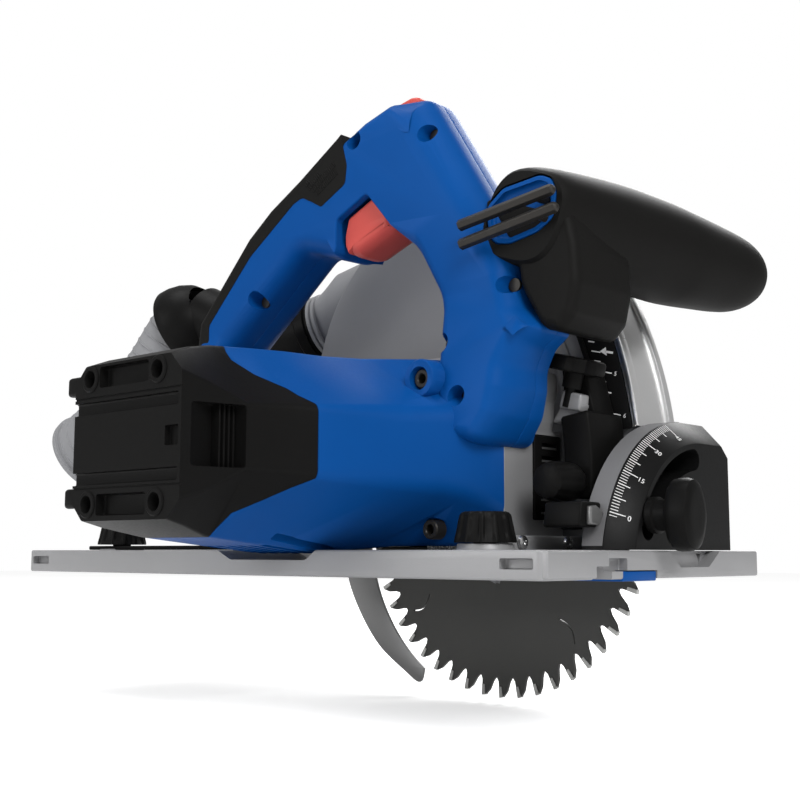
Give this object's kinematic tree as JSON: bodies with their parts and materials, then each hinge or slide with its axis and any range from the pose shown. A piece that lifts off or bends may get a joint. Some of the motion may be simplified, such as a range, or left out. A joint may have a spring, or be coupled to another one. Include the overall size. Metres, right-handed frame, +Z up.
{
  "type": "track plunge saw",
  "caption": "Corded track plunge saw shown fully plunged: flat base, tilting guard, plunging head with D-handle, front handle, transverse motor and swivelling dust port.",
  "frame": {"origin": "middle of the sole, the flat underside of the base plate", "axes": "+X along the base in the cutting direction, +Y towards the blade side, +Z up from the sole"},
  "size_m": [0.4509, 0.261, 0.2758],
  "materials": {
    "blue_plastic": "satin royal blue moulding",
    "black_plastic": "satin near-black moulding",
    "black_rubber": "matt soft-touch",
    "black_metal": "satin black paint with white scale marks",
    "grey_guard": "satin mid grey",
    "cast_aluminium": "fine cast, bead blasted",
    "polished_steel": "polished",
    "bright_steel": "machined",
    "satin_steel": "satin",
    "dark_steel": "black oxide",
    "blade_steel": "dark ground steel",
    "red_plastic": "coral red"
  },
  "bodies": {
    "base": {"base_plate": "cast_aluminium", "rear_knob_strip": "black_plastic", "track_contact_tab": "blue_plastic", "front_bevel_quadrant": "black_metal", "rear_bevel_quadrant": "black_metal", "ledge_screw_1": "bright_steel", "ledge_screw_2": "bright_steel"},
    "front_track_cam": {"front_track_cam_knob": "black_plastic"},
    "rear_track_cam": {"rear_track_cam_knob": "black_plastic"},
    "guard": {"blade_guard": "grey_guard", "guard_side_cover": "grey_guard", "depth_arc": "polished_steel", "depth_scale": "black_metal", "bevel_pointer_block": "black_plastic", "bevel_pointer_tip": "grey_guard", "front_bevel_bolt": "dark_steel", "rear_bevel_bolt": "dark_steel", "plunge_pivot_pin": "bright_steel", "plunge_return_spring": "bright_steel", "dust_chute": "grey_guard"},
    "front_bevel_lock": {"front_bevel_knob": "black_plastic"},
    "rear_bevel_lock": {"rear_bevel_knob": "black_plastic"},
    "depth_stop": {"depth_stop_slider": "black_plastic"},
    "depth_fine_screw": {"depth_stop_screw": "black_plastic"},
    "depth_lock": {"depth_lock_knob": "black_plastic"},
    "dust_port": {"dust_elbow": "black_plastic", "dust_hose_adapter": "grey_guard"},
    "head": {"motor_housing": "blue_plastic", "motor_end_cap": "black_plastic", "motor_stator": "dark_steel", "rear_motor_bearing": "bright_steel", "front_motor_bearing": "bright_steel", "carbon_brush_1": "dark_steel", "carbon_brush_2": "dark_steel", "flange_screw_1": "dark_steel", "flange_screw_2": "dark_steel", "gear_case": "cast_aluminium", "gear_case_vent": "black_plastic", "gear_cover": "cast_aluminium", "spindle_bearing": "bright_steel", "riving_knife": "satin_steel", "riving_knife_arm": "dark_steel", "handle_half_left": "blue_plastic", "handle_half_right": "blue_plastic", "handle_overmold": "black_rubber", "front_handle": "black_rubber", "front_handle_insert": "blue_plastic", "switch_module": "black_plastic"},
    "motor_armature": {"armature": "bright_steel", "cooling_fan": "black_plastic"},
    "idler": {"idler_gear": "bright_steel"},
    "blade_spindle": {"spindle": "bright_steel", "spindle_gear": "bright_steel", "inner_blade_flange": "dark_steel", "outer_blade_flange": "dark_steel", "arbor_bolt": "dark_steel", "saw_blade": "blade_steel"},
    "power_trigger": {"trigger": "red_plastic"},
    "lock_off": {"lock_off_button": "red_plastic"},
    "stored_key": {"hex_key": "dark_steel"}
  },
  "joints": [
    {"name": "bevel_tilt", "type": "hinge", "parent": "base", "child": "guard", "pos_m": [0, 0.039, 0], "axis": [-1, 0, 0], "range_deg": [0, 45]},
    {"name": "head_plunge", "type": "hinge", "parent": "guard", "child": "head", "pos_m": [-0.05, 0, 0.042], "axis": [0, -1, 0], "range_deg": [0, 34]},
    {"name": "armature_spin", "type": "hinge", "parent": "head", "child": "motor_armature", "pos_m": [0.0235, -0.07, 0.0533], "axis": [0, 1, 0], "continuous": true},
    {"name": "idler_spin", "type": "hinge", "parent": "head", "child": "idler", "pos_m": [0.04475, -0.002, 0.0485], "axis": [0, 1, 0], "continuous": true},
    {"name": "blade_spin", "type": "hinge", "parent": "head", "child": "blade_spindle", "pos_m": [0.0535, 0.039, 0.0237], "axis": [0, 1, 0], "continuous": true},
    {"name": "trigger_press", "type": "slide", "parent": "head", "child": "power_trigger", "axis": [-0.5, 0, 0.866], "range_m": [0, 0.005], "stiffness_N_per_m": 1200, "springref_m": -0.004},
    {"name": "lock_off_press", "type": "slide", "parent": "head", "child": "lock_off", "axis": [0.22, 0, -0.9755], "range_m": [0, 0.0035], "stiffness_N_per_m": 900, "springref_m": -0.003},
    {"name": "key_pull", "type": "slide", "parent": "head", "child": "stored_key", "axis": [0, -1, 0], "range_m": [0, 0.03]},
    {"name": "front_track_cam_turn", "type": "hinge", "parent": "base", "child": "front_track_cam", "pos_m": [0.122, -0.06, 0.012], "axis": [0, 0, 1], "range_deg": [-90, 90]},
    {"name": "rear_track_cam_turn", "type": "hinge", "parent": "base", "child": "rear_track_cam", "pos_m": [-0.117, -0.06, 0.012], "axis": [0, 0, 1], "range_deg": [-90, 90]},
    {"name": "front_bevel_lock_turn", "type": "hinge", "parent": "guard", "child": "front_bevel_lock", "pos_m": [0.17, -0.0043, 0.025], "axis": [1, 0, 0], "range_deg": [0, 180]},
    {"name": "rear_bevel_lock_turn", "type": "hinge", "parent": "guard", "child": "rear_bevel_lock", "pos_m": [-0.09, -0.0043, 0.025], "axis": [1, 0, 0], "range_deg": [-180, 0]},
    {"name": "depth_stop_slide", "type": "hinge", "parent": "guard", "child": "depth_stop", "pos_m": [-0.05, 0, 0.042], "axis": [0, -1, 0], "range_deg": [0, 2.2]},
    {"name": "depth_fine_turn", "type": "hinge", "parent": "depth_stop", "child": "depth_fine_screw", "pos_m": [0.1234, -0.002, 0.0784], "axis": [0.2631, 0, 0.9648], "range_deg": [-180, 180]},
    {"name": "depth_lock_turn", "type": "hinge", "parent": "depth_stop", "child": "depth_lock", "pos_m": [0.131, -0.012, 0.039], "axis": [0, 1, 0], "range_deg": [0, 120]},
    {"name": "dust_port_swivel", "type": "hinge", "parent": "guard", "child": "dust_port", "pos_m": [-0.062, 0.035, 0.1355], "axis": [-0.9359, -0.231, -0.266], "range_deg": [-20, 20]}
  ],
  "couplings": [
    {"joint": "idler_spin", "follows": "armature_spin", "ratio": -0.4},
    {"joint": "blade_spin", "follows": "armature_spin", "ratio": 0.21818}
  ]
}
